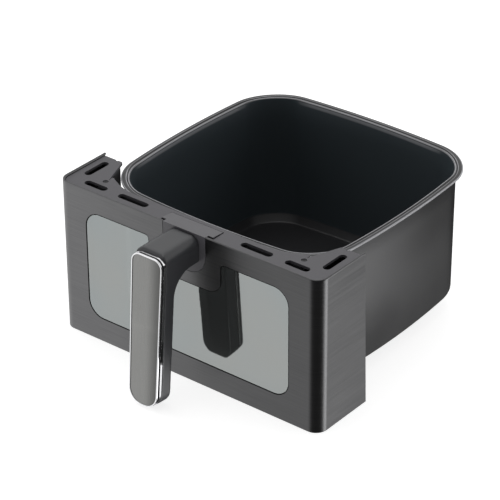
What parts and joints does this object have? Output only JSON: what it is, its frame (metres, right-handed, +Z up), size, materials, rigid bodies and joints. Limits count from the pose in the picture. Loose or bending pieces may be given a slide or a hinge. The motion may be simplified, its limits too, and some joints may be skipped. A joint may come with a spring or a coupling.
{
  "type": "air fryer drawer",
  "caption": "Windowed drawer of a square air fryer: coated pan with rolled rim, brushed front with glass window, and a pull handle.",
  "frame": {"origin": "centre of the drawer's box at the level of the underside of its front", "axes": "+Z up, +X to the right seen from the front, +Y from the handle towards the back of the pan"},
  "size_m": [0.3, 0.3466, 0.156],
  "materials": {
    "brushed_steel_front": "fine horizontal brushing, dark grey, satin",
    "brushed_steel_inlay": "fine brushing, satin",
    "chrome_trim": "polished",
    "grey_cover_plastic": "matte, finely textured",
    "grey_saddle_plastic": "matte, finely textured",
    "handle_plastic": "satin",
    "black_plastic": "matte",
    "coated_pan": "satin non-stick coating, dark grey",
    "tinted_outer_glass": "polished, grey tint with a half-mirror coating",
    "clear_inner_glass": "polished",
    "seal_rubber": "matte",
    "bracket_steel": "plain zinc plated",
    "screw_steel": "plain zinc plated"
  },
  "bodies": {
    "root": {"back_cover": "black_plastic", "back_cover_screw_1": "screw_steel", "back_cover_screw_2": "screw_steel", "back_cover_screw_3": "screw_steel", "back_cover_screw_4": "screw_steel", "back_cover_screw_5": "screw_steel", "bottom_cover": "black_plastic", "fascia_frame": "black_plastic", "fascia_skin": "brushed_steel_front", "handle_band": "chrome_trim", "handle_bezel": "chrome_trim", "handle_body": "handle_plastic", "handle_bracket": "bracket_steel", "handle_inlay": "brushed_steel_inlay", "handle_saddle": "grey_saddle_plastic", "handle_screw_1": "screw_steel", "handle_screw_2": "screw_steel", "handle_spacer": "black_plastic", "inner_glass": "clear_inner_glass", "inner_glass_gasket": "seal_rubber", "left_wing_liner": "black_plastic", "outer_glass": "tinted_outer_glass", "outer_glass_gasket": "seal_rubber", "outer_glass_retainer": "black_plastic", "pan": "coated_pan", "pan_bracket_left": "bracket_steel", "pan_bracket_right": "bracket_steel", "pan_bracket_screw_1": "screw_steel", "pan_bracket_screw_2": "screw_steel", "pan_bracket_screw_3": "screw_steel", "pan_bracket_screw_4": "screw_steel", "retainer_screw_1": "screw_steel", "retainer_screw_2": "screw_steel", "retainer_screw_3": "screw_steel", "retainer_screw_4": "screw_steel", "retainer_screw_5": "screw_steel", "retainer_screw_6": "screw_steel", "right_wing_liner": "black_plastic", "top_cover": "grey_cover_plastic", "top_cover_screw_1": "screw_steel", "top_cover_screw_2": "screw_steel"}
  },
  "joints": []
}
